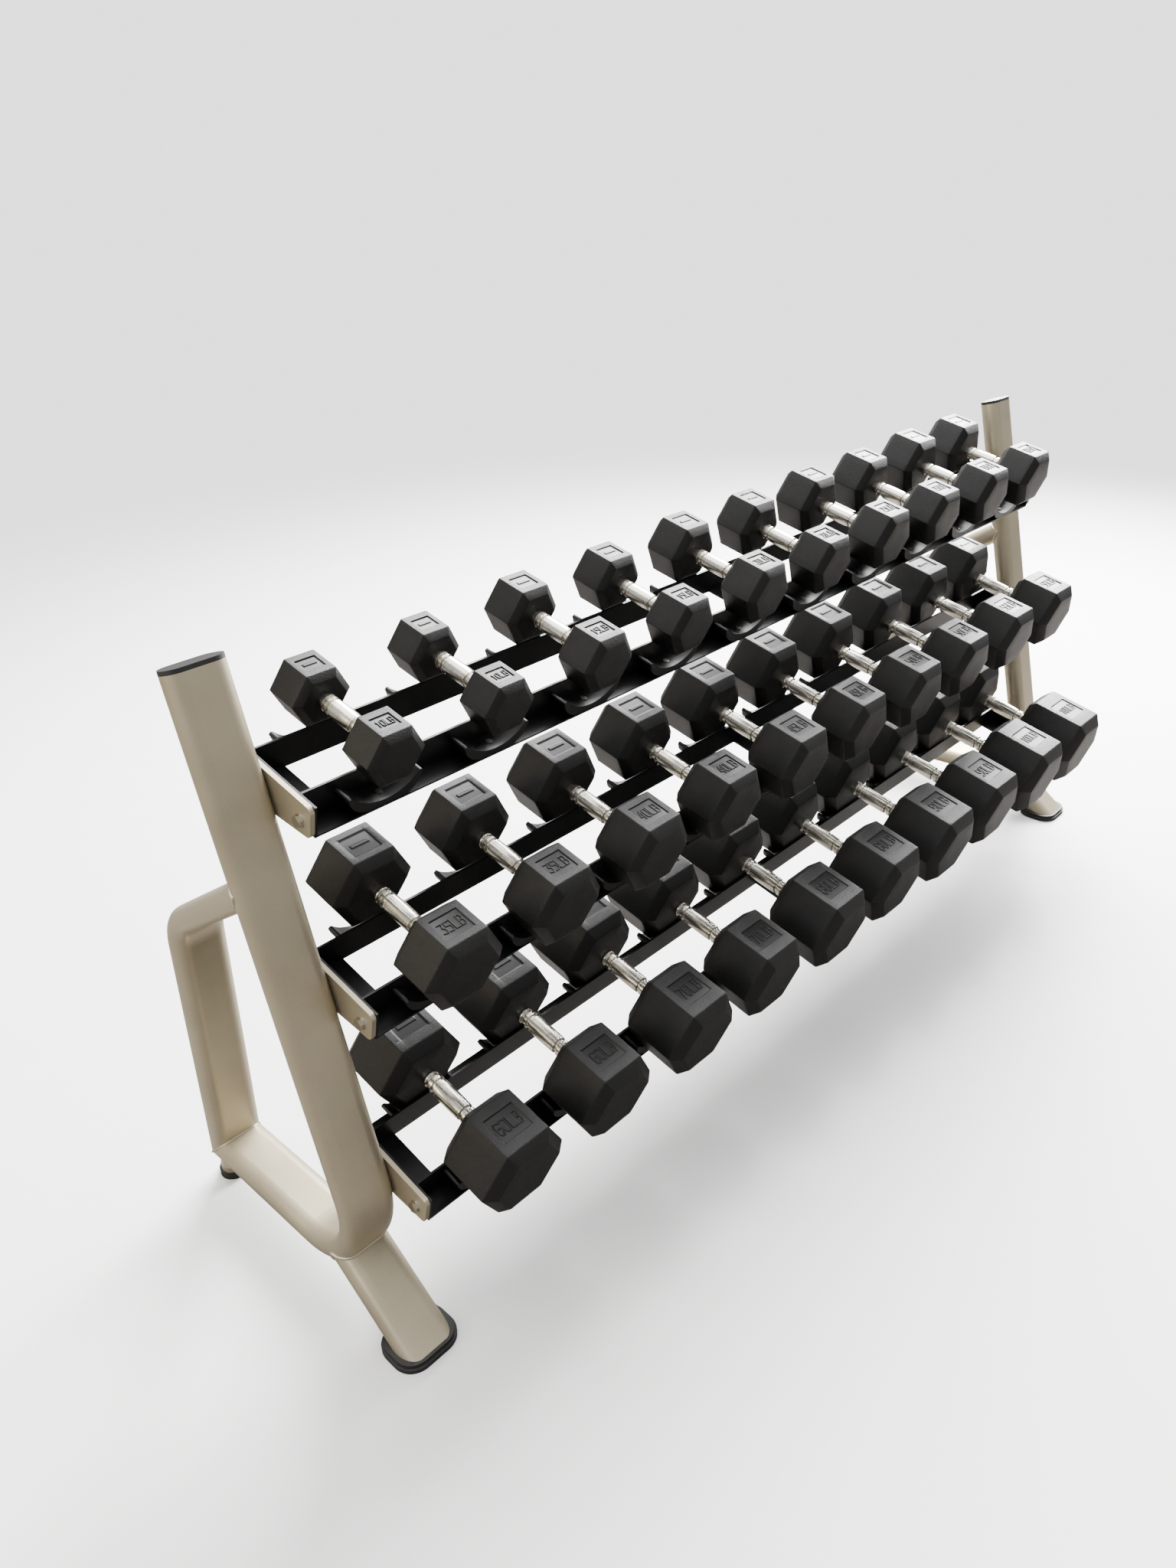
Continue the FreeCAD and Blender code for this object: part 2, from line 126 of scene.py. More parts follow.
# %% [markdown]
# ## Materials
# The rack has champagne metallic paint on its tubes, black powder coat on its rails, moulded plastic seats,
# zinc-plated bolts, and rubber and chrome on the dumbbells. Each could have its own elaborate tree, but they
# all need the same three things: a colour broken up by noise, a roughness that drifts, and a fine bump.
# One function makes that tree from real sizes. It reads Object coordinates, so that the grain keeps its
# true size on every piece.
# %% One function for every finish
def finish_material(name, dark, light, rough, metal=0.0, grain=400.0, bump=0.15, coat=0.0, depth=0.0004, shine=0.5):
    """Principled surface whose colour and roughness follow noise of the given grain, with a fine bump."""
    mat = bpy.data.materials.new(name)
    mat.use_nodes = True
    tree = mat.node_tree
    tree.nodes.clear()
    out = tree.nodes.new("ShaderNodeOutputMaterial")
    bsdf = tree.nodes.new("ShaderNodeBsdfPrincipled")
    coord = tree.nodes.new("ShaderNodeTexCoord")
    fine = tree.nodes.new("ShaderNodeTexNoise")
    fine.inputs["Scale"].default_value = grain
    fine.inputs["Detail"].default_value = 4.0
    broad = tree.nodes.new("ShaderNodeTexNoise")
    broad.inputs["Scale"].default_value = 9.0
    broad.inputs["Detail"].default_value = 3.0
    ramp = tree.nodes.new("ShaderNodeValToRGB")
    ramp.color_ramp.elements[0].position = 0.35
    ramp.color_ramp.elements[1].position = 0.65
    ramp.color_ramp.elements[0].color = (*dark, 1)
    ramp.color_ramp.elements[1].color = (*light, 1)
    mix = tree.nodes.new("ShaderNodeMath")
    mix.operation = "ADD"
    half = tree.nodes.new("ShaderNodeMath")
    half.operation = "MULTIPLY"
    half.inputs[1].default_value = 0.5
    spread = tree.nodes.new("ShaderNodeMapRange")
    spread.inputs["To Min"].default_value = rough[0]
    spread.inputs["To Max"].default_value = rough[1]
    bumper = tree.nodes.new("ShaderNodeBump")
    bumper.inputs["Strength"].default_value = bump
    bumper.inputs["Distance"].default_value = depth
    link = tree.links.new
    link(coord.outputs["Object"], fine.inputs["Vector"])
    link(coord.outputs["Object"], broad.inputs["Vector"])
    link(fine.outputs["Fac"], mix.inputs[0])
    link(broad.outputs["Fac"], mix.inputs[1])
    link(mix.outputs[0], half.inputs[0])
    link(half.outputs[0], ramp.inputs["Fac"])
    link(ramp.outputs["Color"], bsdf.inputs["Base Color"])
    link(broad.outputs["Fac"], spread.inputs["Value"])
    link(spread.outputs["Result"], bsdf.inputs["Roughness"])
    link(fine.outputs["Fac"], bumper.inputs["Height"])
    link(bumper.outputs["Normal"], bsdf.inputs["Normal"])
    link(bsdf.outputs["BSDF"], out.inputs["Surface"])
    bsdf.inputs["Metallic"].default_value = metal
    bsdf.inputs["Specular IOR Level"].default_value = shine
    bsdf.inputs["Coat Weight"].default_value = coat
    bsdf.inputs["Coat Roughness"].default_value = 0.25
    return mat


# %% [markdown]
# ## The finishes of this rack
# A black finish is mostly gloss: its base is nearly zero, and the specular level and roughness decide how
# light it looks. The paint is mostly metallic with a thin clear coat. The rubber has the strongest bump,
# because moulded rubber is pebbled; the pressed label panels and the chrome are nearly smooth.
# %% The set of finishes
LOOK = {
    "frame_paint": finish_material("frame_paint", (0.41, 0.352, 0.245), (0.50, 0.438, 0.312),
                                   (0.34, 0.44), 0.6, 900, 0.12, 0.15),
    "rail_paint": finish_material("rail_paint", (0.002, 0.002, 0.0025), (0.005, 0.005, 0.006),
                                  (0.28, 0.42), 0.0, 700, 0.25, 0.0, 0.0004, 0.3),
    "saddle_plastic": finish_material("saddle_plastic", (0.003, 0.003, 0.0035), (0.007, 0.007, 0.008),
                                      (0.34, 0.46), 0.0, 500, 0.2, 0.0, 0.0004, 0.35),
    "cap_plastic": finish_material("cap_plastic", (0.008, 0.008, 0.008), (0.016, 0.016, 0.016),
                                   (0.35, 0.5), 0.0, 500, 0.2),
    "pad_rubber": finish_material("pad_rubber", (0.010, 0.010, 0.009), (0.022, 0.021, 0.020),
                                  (0.5, 0.7), 0.0, 300, 0.4),
    "zinc_steel": finish_material("zinc_steel", (0.50, 0.48, 0.42), (0.68, 0.65, 0.57),
                                  (0.14, 0.24), 1.0, 300, 0.05),
    "head_rubber": finish_material("head_rubber", (0.004, 0.0039, 0.0038), (0.009, 0.0087, 0.0084),
                                   (0.38, 0.50), 0.0, 480, 0.85, 0.0, 0.0008, 0.28),
    "weld_bead": finish_material("weld_bead", (0.50, 0.45, 0.345), (0.62, 0.56, 0.43),
                                 (0.28, 0.4), 0.8, 250, 0.4, 0.2, 0.0006),
}
LOOK["head_panel"] = finish_material("head_panel", (0.002, 0.002, 0.002), (0.005, 0.005, 0.005),
                                     (0.30, 0.38), 0.0, 400, 0.1, 0.0, 0.0003, 0.22)
LOOK["chrome"] = finish_material("chrome", (0.55, 0.53, 0.47), (0.78, 0.75, 0.66),
                                 (0.20, 0.28), 1.0, 120, 0.02)
print("materials", sorted(LOOK))

# %% [markdown]
# ## Painting the CAD nodes
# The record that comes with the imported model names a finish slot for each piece, so a loop can look it up.
# Real sheet metal never has a knife edge. A cut chamfer in the model would do, but a live Bevel modifier
# of under a millimetre is enough to catch the light along rails, plates, seats, caps and pads.
# %% Paint and soften the edges
SLOT_OF = {s["node"]: s["material_slot"] for s in record["subparts"]}
for name, obj in frame["nodes"].items():
    obj.data.materials.clear()
    obj.data.materials.append(LOOK[SLOT_OF[name]])
    if name.endswith(("_rail", "_end_plates", "_bracket_plates", "_saddles", "_cross_plates", "_caps", "_pads")):
        bevel = obj.modifiers.new("edge", "BEVEL")
        bevel.width = 0.0009 if not name.endswith(("_pads", "_caps")) else 0.002
        bevel.segments = 2
        bevel.limit_method = "ANGLE"
        bevel.angle_limit = math.radians(40)
print("painted", len(frame["nodes"]))

# %% [markdown]
# ## Weld beads
# The tubes are welded where the foot meets the bend, where the base meets the upright, and where the brace
# meets the mast. A bead could be drawn by hand as a curve, but its path can be worked out: take the tube's
# flat-oval outline and slide each of its points along the tube until it reaches the other tube.
# These are the middle lines of the tubes in their own plane (Y, Z), and the size of their section.
# %% Middle lines and section of the tubes
BASE_Y = 0.0056
MAST_TOP, FRONT_CORNER = np.array([0.0934, 1.1611]), np.array([-0.1625, 0.1069])
REAR_CORNER, KNEE, BRACE_END = np.array([0.3389, 0.0868]), np.array([0.2928, 0.6434]), np.array([0.0129, 0.8290])
FOOT_START, FOOT_DROP = np.array([-0.1558, 0.0685]), math.radians(36.5)
BEND, HALF_FLAT, ROUND = 0.150, 0.025, 0.025


def unit(v):
    """The direction of a vector: the vector over its length."""
    return v / np.linalg.norm(v)


# %% [markdown]
# ### The path of a weld
# The flat oval is two straight sides and two half circles, walked at equal steps. Each point slides along
# its tube, and the distance at which it meets the other tube is found for all points at once by halving.
# %% Outline and slide
def outline(count=120):
    """Flat oval outline: (x, v) with x along the long axis and v across."""
    t = np.linspace(0, 1, count, endpoint=False)
    total = 4 * HALF_FLAT + 2 * math.pi * ROUND
    s = t * total
    x, v = np.empty(count), np.empty(count)
    a = s < 2 * HALF_FLAT
    x[a], v[a] = -HALF_FLAT + s[a], -ROUND
    b = (s >= 2 * HALF_FLAT) & (s < 2 * HALF_FLAT + math.pi * ROUND)
    ang = (s[b] - 2 * HALF_FLAT) / ROUND - math.pi / 2
    x[b], v[b] = HALF_FLAT + ROUND * np.cos(ang), ROUND * np.sin(ang)
    c = (s >= 2 * HALF_FLAT + math.pi * ROUND) & (s < 4 * HALF_FLAT + math.pi * ROUND)
    x[c], v[c] = HALF_FLAT - (s[c] - 2 * HALF_FLAT - math.pi * ROUND), ROUND
    d = s >= 4 * HALF_FLAT + math.pi * ROUND
    ang = (s[d] - 4 * HALF_FLAT - math.pi * ROUND) / ROUND + math.pi / 2
    x[d], v[d] = -HALF_FLAT + ROUND * np.cos(ang), ROUND * np.sin(ang)
    return x, v


def half_depth(x):
    """Half the tube's depth at a distance x along its long axis."""
    return np.sqrt(np.maximum(ROUND ** 2 - np.maximum(np.abs(x) - HALF_FLAT, 0) ** 2, 0))


def slide_to(point_of, reached):
    """For each outline point, the slide along the tube at which reached() changes sign, by halving."""
    x, v = outline()
    low, high = np.full(len(x), -0.16), np.full(len(x), 0.10)
    for _ in range(40):
        mid = (low + high) / 2
        past = reached(x, point_of(v, mid))
        low, high = np.where(past, mid, low), np.where(past, high, mid)
    yz = point_of(v, (low + high) / 2)
    return np.column_stack([x, yz])


# %% [markdown]
# ### The bead itself
# A laid bead is a round cord with small ripples, sunk halfway into the corner. A bevelled curve has no
# ripples, so the radius is made to follow a sine of the distance along the path.
# %% Bead along a loop
def bead(name, loop, centre_x, radius=0.0028, body="rack"):
    """Rippled round bead along a closed loop of points, sunk halfway into the joint."""
    loop = loop + np.array([centre_x, BASE_Y, 0])
    seg = np.linalg.norm(np.roll(loop, -1, 0) - loop, axis=1)
    pos = np.concatenate([[0], np.cumsum(seg)])
    closed = np.vstack([loop, loop[:1]])
    count = int(pos[-1] / 0.0012)
    t = np.linspace(0, pos[-1], count, endpoint=False)
    path = np.column_stack([np.interp(t, pos, closed[:, k]) for k in range(3)])
    for _ in range(3):
        path = (np.roll(path, 1, 0) + 2 * path + np.roll(path, -1, 0)) / 4
    tangent = np.roll(path, -1, 0) - np.roll(path, 1, 0)
    tangent /= np.linalg.norm(tangent, axis=1)[:, None]
    out = path - path.mean(0)
    out -= (out * tangent).sum(1)[:, None] * tangent
    out /= np.linalg.norm(out, axis=1)[:, None]
    side = np.cross(tangent, out)
    r = radius * (1 + 0.10 * np.sin(t / 0.0032 * 2 * math.pi))
    a = np.linspace(0, 2 * math.pi, 10, endpoint=False)
    around = np.cos(a)[None, :, None] * out[:, None] + np.sin(a)[None, :, None] * side[:, None]
    grid = path[:, None] + r[:, None, None] * around
    grid = np.concatenate([grid, grid[:1]])
    obj = grid_mesh(name, [grid], smooth=80)
    obj.data.materials.append(LOOK["weld_bead"])
    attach(obj, body)
    return obj


# %% [markdown]
# ### Six loops of weld
# The same three paths serve both end frames. The foot meets the outside of the big bend, which is a circle
# about the bend's centre; the mitre is the plane that halves the corner; the brace meets the mast's side.
# %% Work out the loops and lay the beads
mast_dir = unit(MAST_TOP - FRONT_CORNER)
base_dir = unit(REAR_CORNER - FRONT_CORNER)
half_angle = math.acos(mast_dir @ base_dir) / 2
bend_centre = FRONT_CORNER + unit(mast_dir + base_dir) * BEND / math.sin(half_angle)
foot_back = np.array([math.cos(FOOT_DROP), math.sin(FOOT_DROP)])
foot_side = np.array([-foot_back[1], foot_back[0]])
up_dir, brace_dir = unit(KNEE - REAR_CORNER), unit(BRACE_END - KNEE)
brace_side = np.array([-brace_dir[1], brace_dir[0]])
base_side = np.array([-base_dir[1], base_dir[0]])
seam = unit(up_dir - base_dir)
across = np.array([-seam[1], seam[0]])
mast_side = np.array([mast_dir[1], -mast_dir[0]])

foot_loop = slide_to(lambda v, t: FOOT_START + v[:, None] * foot_side + (0.10 - t)[:, None] * foot_back,
                     lambda x, p: np.linalg.norm(p - bend_centre, axis=1) < BEND + half_depth(x))
mitre_sign = 1.0 if across @ base_dir > 0 else -1.0
mitre_loop = slide_to(lambda v, t: REAR_CORNER + v[:, None] * base_side + t[:, None] * base_dir,
                      lambda x, p: (p - REAR_CORNER) @ across * mitre_sign < 0)
brace_loop = slide_to(lambda v, t: BRACE_END + v[:, None] * brace_side + (-t)[:, None] * brace_dir,
                      lambda x, p: (p - MAST_TOP) @ mast_side < half_depth(x))
for side, x in (("left", -1.2), ("right", 1.2)):
    bead("weld_foot_" + side, foot_loop, x, 0.0034)
    bead("weld_mitre_" + side, mitre_loop, x, 0.0022)
    bead("weld_brace_" + side, brace_loop, x, 0.0030)
print("weld loops", foot_loop.mean(0).round(3), mitre_loop.mean(0).round(3), brace_loop.mean(0).round(3))

# %% [markdown]
# ## Numbers as strokes
# The weight is moulded on each front head. A font object cut in with a boolean would be heavy and fragile.
# Here every character is a few straight strokes on a 4 by 6 grid, and the raised height at a point depends
# only on its distance to the nearest stroke, so a number can be pressed into any grid of points.
# %% Strokes of the characters
STROKES = {
    "0": [(0, 1, 0, 5), (0, 5, 1, 6), (1, 6, 3, 6), (3, 6, 4, 5), (4, 5, 4, 1), (4, 1, 3, 0), (3, 0, 1, 0), (1, 0, 0, 1)],
    "1": [(2, 0, 2, 6), (2, 6, 1, 5)],
    "2": [(0, 5, 1, 6), (1, 6, 3, 6), (3, 6, 4, 5), (4, 5, 4, 4), (4, 4, 0, 0), (0, 0, 4, 0)],
    "3": [(0, 6, 4, 6), (4, 6, 2, 3.5), (2, 3.5, 4, 2.5), (4, 2.5, 4, 1), (4, 1, 3, 0), (3, 0, 0, 0.5)],
    "4": [(3, 0, 3, 6), (3, 6, 0, 2), (0, 2, 4, 2)],
    "5": [(4, 6, 0, 6), (0, 6, 0, 3.5), (0, 3.5, 3, 3.5), (3, 3.5, 4, 2.5), (4, 2.5, 4, 1), (4, 1, 3, 0), (3, 0, 0, 0)],
    "6": [(4, 5.5, 3, 6), (3, 6, 1, 6), (1, 6, 0, 5), (0, 5, 0, 1), (0, 1, 1, 0), (1, 0, 3, 0), (3, 0, 4, 1),
          (4, 1, 4, 2.5), (4, 2.5, 3, 3.5), (3, 3.5, 0, 3)],
    "7": [(0, 6, 4, 6), (4, 6, 1.5, 0)],
    "8": [(1, 3.2, 0, 4.2), (0, 4.2, 0, 5), (0, 5, 1, 6), (1, 6, 3, 6), (3, 6, 4, 5), (4, 5, 4, 4.2), (4, 4.2, 3, 3.2),
          (3, 3.2, 1, 3.2), (1, 3.2, 0, 2.2), (0, 2.2, 0, 1), (0, 1, 1, 0), (1, 0, 3, 0), (3, 0, 4, 1), (4, 1, 4, 2.2),
          (4, 2.2, 3, 3.2)],
    "9": [(0, 0.5, 1, 0), (1, 0, 3, 0), (3, 0, 4, 1), (4, 1, 4, 5), (4, 5, 3, 6), (3, 6, 1, 6), (1, 6, 0, 5), (0, 5, 0, 3.5),
          (0, 3.5, 1, 2.5), (1, 2.5, 4, 3)],
    "L": [(0, 6, 0, 0), (0, 0, 4, 0)],
    "B": [(0, 0, 0, 6), (0, 6, 3, 6), (3, 6, 4, 5), (4, 5, 4, 4), (4, 4, 3, 3), (3, 3, 0, 3), (3, 3, 4, 2), (4, 2, 4, 1),
          (4, 1, 3, 0), (3, 0, 0, 0)],
}


def stroke_distance(px, py, text, squeeze=0.58):
    """Distance from points to the nearest stroke of a text one unit high, centred on the origin.

    Each stroke's nearest point lies at a share t of its length, t being kept between 0 and 1.
    """
    cell = 1 / 6.0
    width = len(text) * 4 * cell + (len(text) - 1) * 1.7 * cell
    best = np.full(px.shape, 9.0)
    for i, char in enumerate(text):
        ox = -width / 2 + i * 5.7 * cell
        for x0, y0, x1, y1 in STROKES[char]:
            ax, ay = squeeze * (ox + x0 * cell), y0 * cell - 0.5
            bx, by = squeeze * (ox + x1 * cell), y1 * cell - 0.5
            length = (bx - ax) ** 2 + (by - ay) ** 2
            t = np.clip(((px - ax) * (bx - ax) + (py - ay) * (by - ay)) / length, 0, 1)
            best = np.minimum(best, np.hypot(px - ax - t * (bx - ax), py - ay - t * (by - ay)))
    return best


def smooth(edge0, edge1, value):
    """Soft step: 0 below edge0, 1 above edge1, and 3t^2 - 2t^3 in between."""
    t = np.clip((value - edge0) / (edge1 - edge0), 0, 1)
    return t * t * (3 - 2 * t)


# %% [markdown]
# ## One hex head
# A head is a hexagonal rubber block with wide bevels at both ends, a pressed panel on its top flat, and the
# weight standing up inside the panel. A bevelled cylinder of six sides is close, but it has no room for
# the number. So the head is a rounded hexagon swept along its axis and drawn in at both ends, with points
# packed closely where the panel is. The rear heads carry a plain raised bar instead of a number.
# %% Surface of a head
TOP_FLAT = 1
CORNER_SHARE, BEVEL_SHARE, LIP_SHARE = 0.020, 0.115, 0.014
PANEL_DEPTH, NUMBER_RISE, PANEL_WALL = 0.0022, 0.0016, 0.0012
MARGIN = 0.001


def head_grid(flats, length, text, fine=96, panel_rows=72):
    """Grid (stations along u, points round the hexagon) in x, u, n.

    Each station is the rounded hexagon times a scale that falls off at the ends; on the top flat, n drops by
    the panel's depth inside the panel and rises again on the strokes.
    """
    apothem = flats / 2
    side = 2 * apothem / math.sqrt(3)
    corner = CORNER_SHARE * flats
    flat_half = side / 2 - corner * math.tan(math.pi / 6)
    half_w, half_h = panel_size(flats, length)
    across = np.concatenate([[-flat_half], np.linspace(-half_w - MARGIN, half_w + MARGIN, fine), [flat_half]])
    blocks, tops = [], []
    for k in range(6):
        normal = math.radians(30 + 60 * k)
        out = np.array([math.cos(normal), math.sin(normal)])
        along = np.array([-out[1], out[0]])
        s = across if k == TOP_FLAT else np.linspace(-flat_half, flat_half, 5)
        turned = normal + np.radians([12, 24, 36, 48])
        centre = (apothem - corner) * out + flat_half * along
        blocks += [apothem * out + s[:, None] * along,
                   centre + corner * np.stack([np.cos(turned), np.sin(turned)], -1)]
        tops += [np.full(len(s), k == TOP_FLAT), np.zeros(len(turned), bool)]
    ring, on_top = np.concatenate(blocks), np.concatenate(tops)

    bevel = BEVEL_SHARE * flats
    lip = LIP_SHARE * flats
    ends = [(0.0, 0.0), (0.0, 0.35),
            (0.0, 1 - (bevel + lip) / apothem),
            (0.15 * lip, 1 - (bevel + 0.45 * lip) / apothem),
            (0.55 * lip, 1 - (bevel - 0.1 * lip) / apothem),
            (bevel * 0.86, 1 - 0.55 * lip / apothem),
            (bevel * 0.95, 1 - 0.12 * lip / apothem),
            (bevel * 1.06, 1.0)]
    stop = [(length - u, s) for u, s in reversed(ends)]
    rows = np.linspace(-half_h - MARGIN, half_h + MARGIN, panel_rows) + length / 2
    mid = [(u, 1.0) for u in rows if bevel * 1.1 < u < length - bevel * 1.1]
    stations = np.array(ends + mid + stop)

    u = stations[:, 0][:, None]
    scale = stations[:, 1][:, None]
    x = ring[:, 0][None, :] * scale
    n = ring[:, 1][None, :] * scale
    u = np.broadcast_to(u, x.shape)
    du = u - length * 0.5
    inside = np.maximum(np.abs(x) - half_w, np.abs(du) - half_h)
    sunk = 1 - smooth(-PANEL_WALL, 0.0, inside)
    if text:
        letter = min(half_h, 2.7 * half_w / (len(text) * 0.95 - 0.28))
        raised = 1 - smooth(0.035, 0.070, stroke_distance(x / letter, du / letter, text))
    else:
        bar = np.maximum(np.abs(x) - 0.62 * half_w, np.abs(du) - 0.14 * half_h)
        raised = 1 - smooth(0.0, PANEL_WALL, bar)
    depth = PANEL_DEPTH * sunk - NUMBER_RISE * raised * sunk
    n = n - np.where(on_top[None, :], depth, 0.0)
    return np.stack([x, u, n], axis=-1)


# %% [markdown]
# ### Size and finish of the panel
# The panel keeps its proportions to the flat it is pressed into. Its faces get their own, smoother finish,
# picked by where each face's centre lies, because the mould is polished there.
# %% Panel of a head
def panel_size(flats, length):
    """Half width and half height of the pressed panel."""
    half_w = 0.345 * flats / math.sqrt(3)
    return half_w, min(0.34 * length, 0.86 * half_w)


def panel_faces(obj, flats, centres, length, nc):
    """Gives the faces inside the pressed panels the smoother finish."""
    count = len(obj.data.polygons)
    mid = np.empty(count * 3)
    obj.data.polygons.foreach_get("center", mid)
    mid = mid.reshape(-1, 3)
    x, u, n = mid @ X_DIR, mid @ U_DIR, mid @ N_DIR
    half_w, half_h = panel_size(flats, length)
    mark = np.zeros(count, dtype=np.int32)
    for cx, cu in centres:
        mark[(np.abs(x - cx) < half_w - 0.0006) & (np.abs(u - cu) < half_h - 0.0006) & (n > nc)] = 1
    obj.data.polygons.foreach_set("material_index", mark)


# %% [markdown]
# ## One handle
# The handle is turned steel: at each end a neck and two collars with grooves between them, and a wide plain
# barrel in the middle. It could be a stack of cylinders, but a turned piece is one profile swept round an
# axis. The profile lists (distance from the head, radius) in millimetres for half of a 130 mm handle.
# %% Profile of a handle
HANDLE = [(0.0, 0.0), (0.0, 13.2), (5.4, 13.2), (5.8, 15.2), (6.4, 15.7), (12.6, 15.7), (13.2, 15.2), (13.6, 11.6),
          (17.6, 11.6), (18.0, 15.4), (18.7, 16.1), (26.0, 16.1), (26.7, 15.4), (27.1, 12.8), (32.0, 12.8), (32.4, 15.8),
          (33.2, 16.5), (37.0, 16.5), (37.4, 15.7), (38.4, 15.7), (38.8, 16.7), (52.0, 17.0), (65.0, 17.1)]
FULL_LENGTH = 0.130


def handle_grid(gap, thick):
    """Turned profile (u, radius) mirrored about the middle and swept round the axis."""
    prof = np.array(HANDLE)
    prof[:, 0] *= gap / FULL_LENGTH / 1000
    prof[:, 1] *= thick / 1000
    mirrored = prof[::-1][1:].copy()
    mirrored[:, 0] = gap - mirrored[:, 0]
    both = np.concatenate([prof, mirrored])
    index = np.arange(len(both))
    halves = np.linspace(0, len(both) - 1, 2 * len(both) - 1)
    u, r = (np.interp(halves, index, both[:, k]) for k in range(2))
    a = np.linspace(0, 2 * math.pi, 40, endpoint=False)
    along = np.broadcast_to(u[:, None], (len(u), len(a)))
    return np.stack([r[:, None] * np.cos(a), along, r[:, None] * np.sin(a)], -1)


# %% [markdown]
# ## Thirty dumbbells
# Each dumbbell takes its place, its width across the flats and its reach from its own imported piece. It rides
# that piece's body, so it lifts with it, and replaces its plain look. Only the free length of the handle is
# given here, one for each shelf: the rest of the reach is shared equally by the two heads.
# %% Build every pair of heads with its handle
BODY_OF = {n: b for b, ns in record["behaviour"]["bodies"].items() for n in ns}
GAP = {"top": 0.106, "middle": 0.126, "bottom": 0.134}
made = 0
for name in sorted(n for n in frame["nodes"] if n.startswith("dumbbell_")):
    pounds = name.rsplit("_", 1)[1][:-2]
    x0, x1 = span(name, X_DIR)
    n0, n1 = span(name, N_DIR)
    u0, u1 = span(name, U_DIR)
    flats = n1 - n0
    gap = GAP[name.split("_")[1]]
    length = ((u1 - u0) - gap) / 2
    xc, nc = (x0 + x1) / 2, (n0 + n1) / 2
    front = head_grid(flats - 0.0004, length, pounds + "LB")
    rear = head_grid(flats - 0.0004, length, "", 40, 30)
    front = front + np.array([xc, u0, nc])
    rear = rear + np.array([xc, u0 + length + gap, nc])
    heads = grid_mesh("heads" + name[8:], [to_row(front), to_row(rear)])
    heads.data.materials.append(LOOK["head_rubber"])
    heads.data.materials.append(LOOK["head_panel"])
    panel_faces(heads, flats, [(xc, u0 + length / 2), (xc, u0 + length * 1.5 + gap)], length, nc)
    thick = 0.92 + 0.0016 * int(pounds)
    grip = handle_grid(gap, thick) + np.array([xc, u0 + length, nc])
    handle = grid_mesh("handle" + name[8:], [to_row(grip)], smooth=40)
    handle.data.materials.append(LOOK["chrome"])
    for piece in (heads, handle):
        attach(piece, BODY_OF[name])
        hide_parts(name)
    made += 1
print("dumbbells", made, "faces in the last heads", len(heads.data.polygons))

# %% [markdown]
# ## Camera, floor and light
# The camera stands to the left of the rack's front, above it, and looks down along the shelves. Its three
# directions are written out: a turn about a target would hide the slight roll.
# %% Camera
RIGHT = Vector((0.69248, -0.72076, -0.03138))
DOWN = Vector((-0.36337, -0.31088, -0.87824))
AHEAD = Vector((0.62324, 0.61957, -0.47718))
cam_data = bpy.data.cameras.new("view_camera")
cam_data.sensor_fit = "HORIZONTAL"
cam_data.sensor_width = 36.0
cam_data.lens = 34.91
cam_data.clip_end = 60
camera = bpy.data.objects.new("view_camera", cam_data)
bpy.context.scene.collection.objects.link(camera)
turn = Matrix((RIGHT, -DOWN, -AHEAD)).transposed().to_4x4()
camera.matrix_world = Matrix.Translation((-1.8733, -1.3454, 1.7622)) @ turn
bpy.context.scene.camera = camera

# %% [markdown]
# ## A floor without a horizon
# A plain pale floor ends in a hard line at the back. Curving it up like a studio sweep would hide the line,
# but here the floor simply fades into the bright backdrop with distance. Black rubber shows whatever it
# mirrors, so in reflections the floor counts as a dull mat, and the front faces of the heads stay dark.
# %% Floor
floor_mesh = bpy.data.meshes.new("floor")
floor_mesh.from_pydata([(-30, -30, 0), (30, -30, 0), (30, 30, 0), (-30, 30, 0)], [], [(0, 1, 2, 3)])
floor = bpy.data.objects.new("floor", floor_mesh)
bpy.context.scene.collection.objects.link(floor)
paving = finish_material("floor", (0.90, 0.90, 0.90), (0.92, 0.92, 0.92), (0.6, 0.7), 0.0, 3, 0.0)
floor.data.materials.append(paving)
WHITE = 2.3


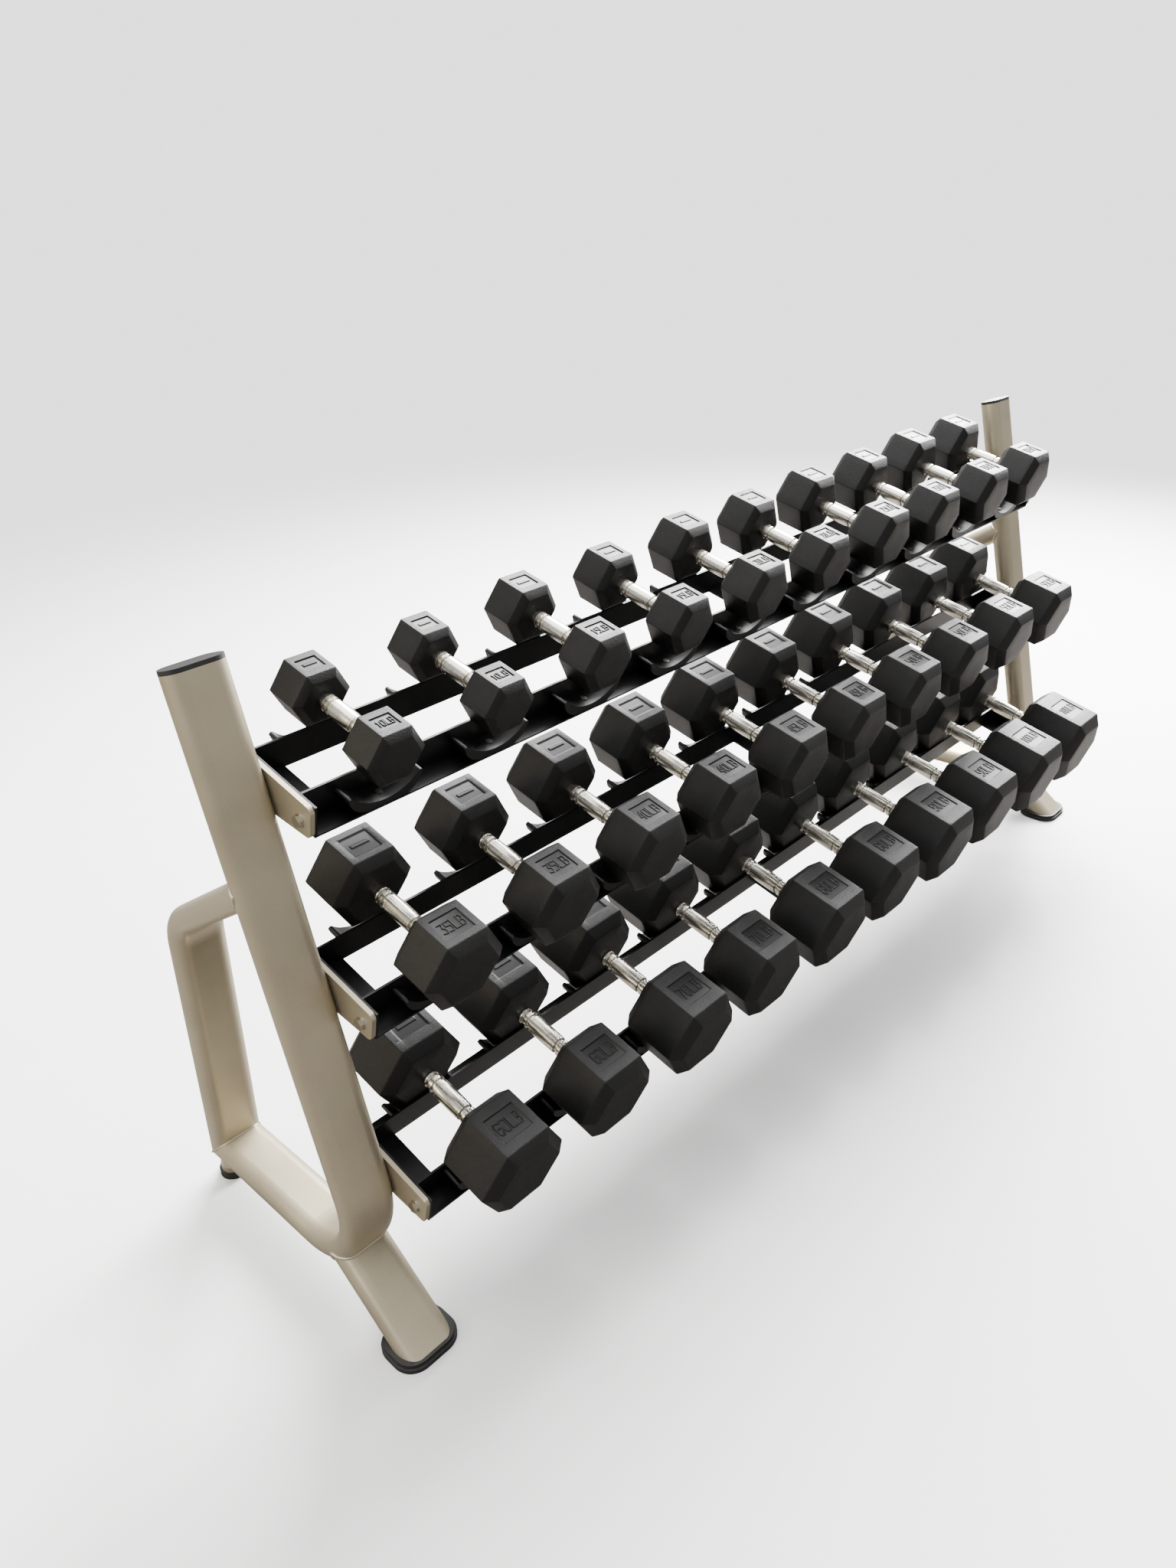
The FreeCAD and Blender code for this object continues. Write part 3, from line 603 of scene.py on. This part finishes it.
def studio_floor(tree):
    """White shares: the distance from the middle, eased from 0 to 1, mixes the paving into plain white light."""
    def add(kind, **values):
        node = tree.nodes.new(kind)
        for key, value in values.items():
            setattr(node, key, value)
        return node
    principled = next(n for n in tree.nodes if n.type == "BSDF_PRINCIPLED")
    out = next(n for n in tree.nodes if n.type == "OUTPUT_MATERIAL")
    ramp = next(n for n in tree.nodes if n.type == "VALTORGB")
    coord = next(n for n in tree.nodes if n.type == "TEX_COORD")
    seen = add("ShaderNodeLightPath")
    dull = add("ShaderNodeMix", data_type="RGBA")
    dull.inputs[6].default_value = (0.14, 0.13, 0.12, 1)
    away = add("ShaderNodeVectorMath", operation="LENGTH")
    fade = add("ShaderNodeMapRange", interpolation_type="SMOOTHSTEP")
    fade.inputs["From Min"].default_value = 1.8
    fade.inputs["From Max"].default_value = 6.5
    gate = add("ShaderNodeMath", operation="MULTIPLY")
    glow = add("ShaderNodeEmission")
    glow.inputs["Strength"].default_value = WHITE
    blend = add("ShaderNodeMixShader")
    link = tree.links.new
    link(seen.outputs["Is Camera Ray"], dull.inputs[0])
    link(ramp.outputs["Color"], dull.inputs[7])
    link(dull.outputs[2], principled.inputs["Base Color"])
    link(coord.outputs["Object"], away.inputs[0])
    link(away.outputs["Value"], fade.inputs["Value"])
    link(fade.outputs["Result"], gate.inputs[0])
    link(seen.outputs["Is Camera Ray"], gate.inputs[1])
    link(gate.outputs[0], blend.inputs["Fac"])
    link(principled.outputs["BSDF"], blend.inputs[1])
    link(glow.outputs[0], blend.inputs[2])
    link(blend.outputs[0], out.inputs["Surface"])


studio_floor(paving.node_tree)

# %% [markdown]
# ## Soft room
# A sky texture would put its own shapes and colours into the gloss. A smooth gradient, brighter overhead,
# keeps the reflections calm, and the camera itself sees an even white.
# %% Room
world = bpy.data.worlds.new("soft_room")
world.use_nodes = True
sky = world.node_tree
back = sky.nodes["Background"]
direction = sky.nodes.new("ShaderNodeTexCoord")
parts = sky.nodes.new("ShaderNodeSeparateXYZ")
fade = sky.nodes.new("ShaderNodeMapRange")
fade.inputs["From Min"].default_value = -0.1
fade.inputs["From Max"].default_value = 0.9
fade.inputs["To Min"].default_value = 0.42
fade.inputs["To Max"].default_value = 1.05
seen = sky.nodes.new("ShaderNodeLightPath")
pick = sky.nodes.new("ShaderNodeMix")
pick.data_type = "FLOAT"
pick.inputs[3].default_value = WHITE
sky.links.new(direction.outputs["Generated"], parts.inputs[0])
sky.links.new(parts.outputs["Z"], fade.inputs["Value"])
sky.links.new(seen.outputs["Is Camera Ray"], pick.inputs[0])
sky.links.new(fade.outputs["Result"], pick.inputs[2])
sky.links.new(pick.outputs[0], back.inputs["Strength"])
back.inputs["Color"].default_value = (1, 1, 1, 1)
bpy.context.scene.world = world


# %% [markdown]
# ## Lamps
# A wide lamp above gives the soft shadow. Two lamps at the back right are mirrored in the top flats of the
# heads, most of all at the far end, where they are seen at a low angle. Two weak ones at the left show up
# the tubes and warm the left flats.
# %% Lamps
def area(name, place, target, size, power, colour=(1, 1, 1)):
    """Square soft light at a place, facing a target."""
    data = bpy.data.lights.new(name, "AREA")
    data.color = colour
    data.size = size
    data.energy = power
    lamp = bpy.data.objects.new(name, data)
    lamp.location = place
    lamp.rotation_euler = (Vector(target) - Vector(place)).to_track_quat("-Z", "Y").to_euler()
    bpy.context.scene.collection.objects.link(lamp)
    return lamp


area("over", (0.4, 1.2, 5.2), (0, 0, 0.3), 6.0, 520)
area("back_right", (3.0, 2.2, 4.3), (-0.3, 0, 0.6), 3.0, 1350)
area("window", (4.6, 0.9, 2.4), (0.8, 0, 0.7), 2.2, 1100)
area("left", (-4.6, -0.6, 2.4), (-0.6, 0, 0.6), 1.4, 40)
area("left_back", (-4.4, 1.3, 1.7), (-0.8, 0, 0.5), 1.2, 45, (1.0, 0.86, 0.62))
print("camera", [round(v, 3) for v in camera.location], "lens", cam_data.lens)
